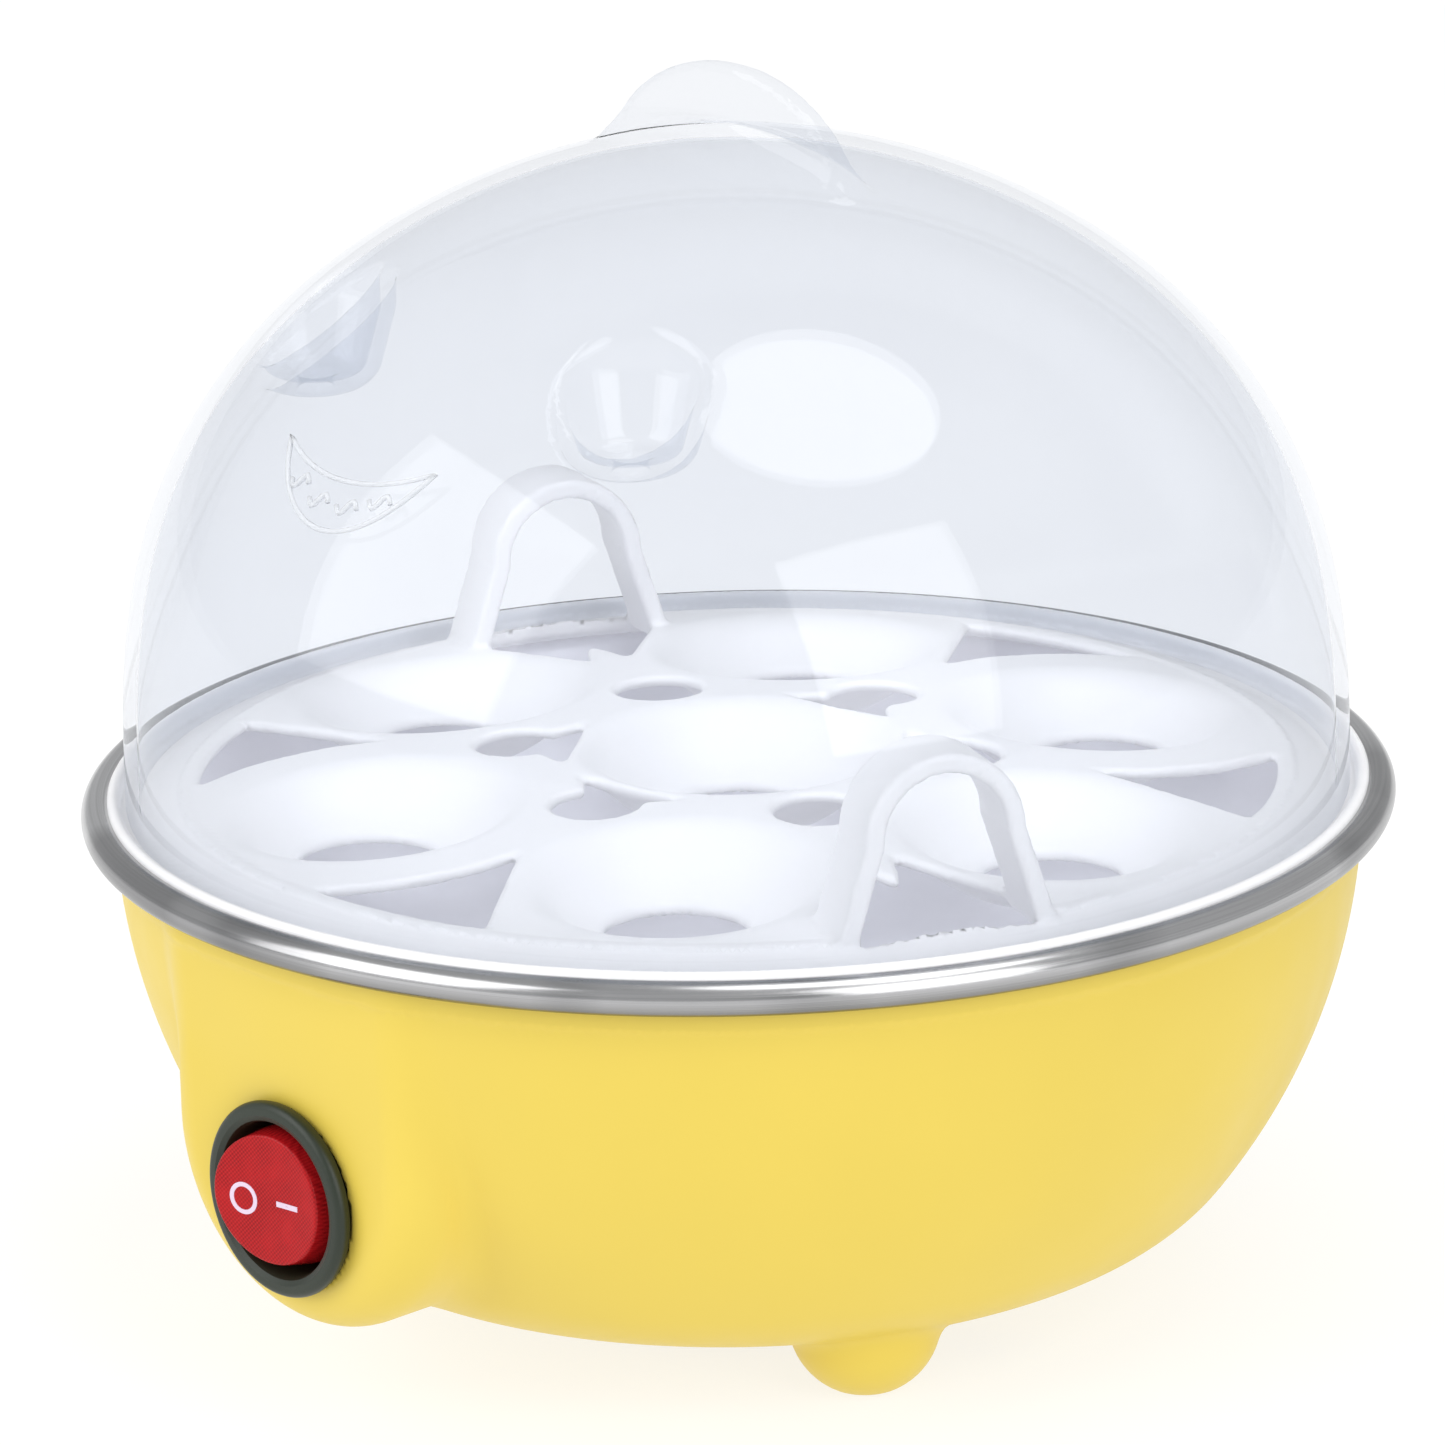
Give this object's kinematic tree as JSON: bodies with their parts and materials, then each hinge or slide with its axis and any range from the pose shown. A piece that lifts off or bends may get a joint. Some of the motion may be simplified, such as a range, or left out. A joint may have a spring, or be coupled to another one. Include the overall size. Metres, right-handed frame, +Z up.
{
  "type": "egg cooker",
  "caption": "Electric egg cooker: round plastic base with side rocker switch, steel heating pan, lift-out egg tray with arched handles and a clear domed lid with steam vents.",
  "frame": {"origin": "on the table, under the middle of the round base", "axes": "+Z up; the switch housing faces -Y; the lid's fin handle lies along X"},
  "size_m": [0.16, 0.16, 0.1532],
  "materials": {
    "shell_yellow": "satin moulded, pale yellow",
    "pan_steel": "brushed round the rim",
    "gasket_silicone": "matte",
    "tray_white": "satin moulded white",
    "lid_clear": "clear, polished",
    "heater_aluminium": "cast and turned",
    "zinc_steel": "zinc plated",
    "brass_terminal": "stamped",
    "switch_black": "fine grained, black",
    "rocker_red": "translucent red, fine grid inside",
    "lamp_glass": "clear glass",
    "bakelite": "moulded brown",
    "block_plastic": "moulded natural",
    "sleeve_red": "silicone sleeve",
    "sleeve_blue": "silicone sleeve",
    "sleeve_white": "glass-fibre sleeve"
  },
  "bodies": {
    "base": {"base_shell": "shell_yellow", "rim_gasket": "gasket_silicone", "heating_pan": "pan_steel", "heater_plate": "heater_aluminium", "heater_tube": "zinc_steel", "heater_pin_1": "brass_terminal", "heater_pin_2": "brass_terminal", "clamp_bracket": "zinc_steel", "stud_nut": "zinc_steel", "base_screw_1": "zinc_steel", "base_screw_2": "zinc_steel", "thermostat_cap": "heater_aluminium", "thermostat_body": "bakelite", "thermostat_blade_1": "brass_terminal", "thermostat_blade_2": "brass_terminal", "thermal_fuse": "sleeve_white", "terminal_block": "block_plastic", "cord_gland": "switch_black", "switch_housing": "switch_black", "switch_blade_1": "brass_terminal", "switch_blade_2": "brass_terminal", "switch_blade_3": "brass_terminal", "indicator_lamp": "lamp_glass", "live_wire": "sleeve_red", "switched_wire": "sleeve_red", "fuse_wire": "sleeve_white", "heater_wire": "sleeve_white", "neutral_wire": "sleeve_blue", "lamp_wire": "sleeve_blue"},
    "tray": {"egg_tray": "tray_white"},
    "lid": {"lid": "lid_clear"},
    "rocker": {"rocker": "rocker_red"}
  },
  "joints": [
    {"name": "tray_lift", "type": "slide", "parent": "base", "child": "tray", "axis": [0, 0, 1], "range_m": [0, 0.08]},
    {"name": "lid_lift", "type": "slide", "parent": "tray", "child": "lid", "axis": [0, 0, 1], "range_m": [0, 0.12]},
    {"name": "switch_rock", "type": "hinge", "parent": "base", "child": "rocker", "pos_m": [0, -0.073, 0.0294], "axis": [0, 0, 1], "range_deg": [-16, 0]}
  ]
}
